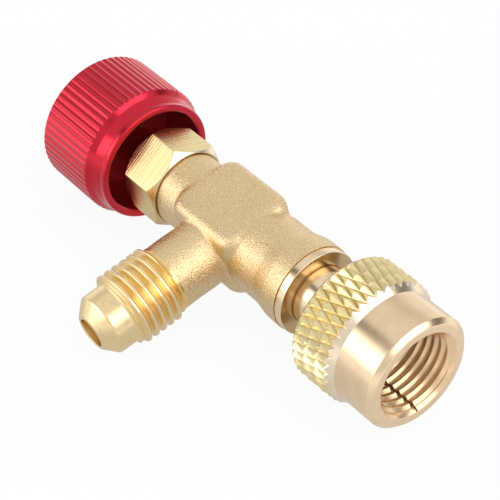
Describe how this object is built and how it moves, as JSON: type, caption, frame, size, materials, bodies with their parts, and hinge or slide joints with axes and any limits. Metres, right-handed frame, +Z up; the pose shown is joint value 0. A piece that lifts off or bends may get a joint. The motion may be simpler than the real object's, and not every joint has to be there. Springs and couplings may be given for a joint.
{
  "type": "hose flow control valve",
  "caption": "Angle valve for a refrigerant hose: knurled swivel nut, forged tee with a male flare side port, hexagon bonnet, and a fluted red knob that drives a core-depressor pin.",
  "frame": {"origin": "outer end of the swivel nut's thread, on its axis", "axes": "+X along the main axis, from the knob to the swivel nut; +Z up as the valve rests on knob, nut and side port; the side port points to -Y and dips towards the table"},
  "size_m": [0.0703, 0.0356, 0.0204],
  "materials": {
    "forged_brass": "blasted forging, matt",
    "milled_brass": "milled, satin",
    "turned_brass": "turned, bright",
    "nut_brass": "turned and knurled, satin",
    "red_anodised": "red anodised, satin",
    "plain_steel": "plain",
    "fibre_washer": "matt",
    "seal_rubber": "matt black"
  },
  "bodies": {
    "valve_body": {"valve_body": "forged_brass", "bonnet_nut": "milled_brass", "bonnet_washer": "fibre_washer", "tailpiece": "turned_brass", "tailpiece_oring": "seal_rubber", "pin_guide": "turned_brass", "face_gasket": "seal_rubber"},
    "depressor": {"depressor_pin": "turned_brass"},
    "handwheel": {"knob": "red_anodised", "stem": "turned_brass", "stem_oring_outer": "seal_rubber", "stem_oring_inner": "seal_rubber", "pin_retainer": "plain_steel", "knob_washer": "plain_steel", "knob_screw": "plain_steel"},
    "slip_ring": {"slip_washer": "turned_brass"},
    "swivel_nut": {"swivel_nut": "nut_brass"}
  },
  "joints": [
    {"name": "pin_travel", "type": "slide", "parent": "valve_body", "child": "depressor", "axis": [1, 0, 0], "range_m": [0, 0.0035]},
    {"name": "knob_turn", "type": "hinge", "parent": "depressor", "child": "handwheel", "pos_m": [-0.0694, 0, 0], "axis": [1, 0, 0], "range_deg": [0, 1260]},
    {"name": "nut_slip", "type": "slide", "parent": "valve_body", "child": "slip_ring", "axis": [1, 0, 0], "range_m": [-0.0053, 0]},
    {"name": "nut_swivel", "type": "hinge", "parent": "slip_ring", "child": "swivel_nut", "pos_m": [0, 0, 0], "axis": [1, 0, 0], "continuous": true}
  ],
  "couplings": [
    {"joint": "pin_travel", "follows": "knob_turn", "m_per_rad": 0.00015915}
  ]
}
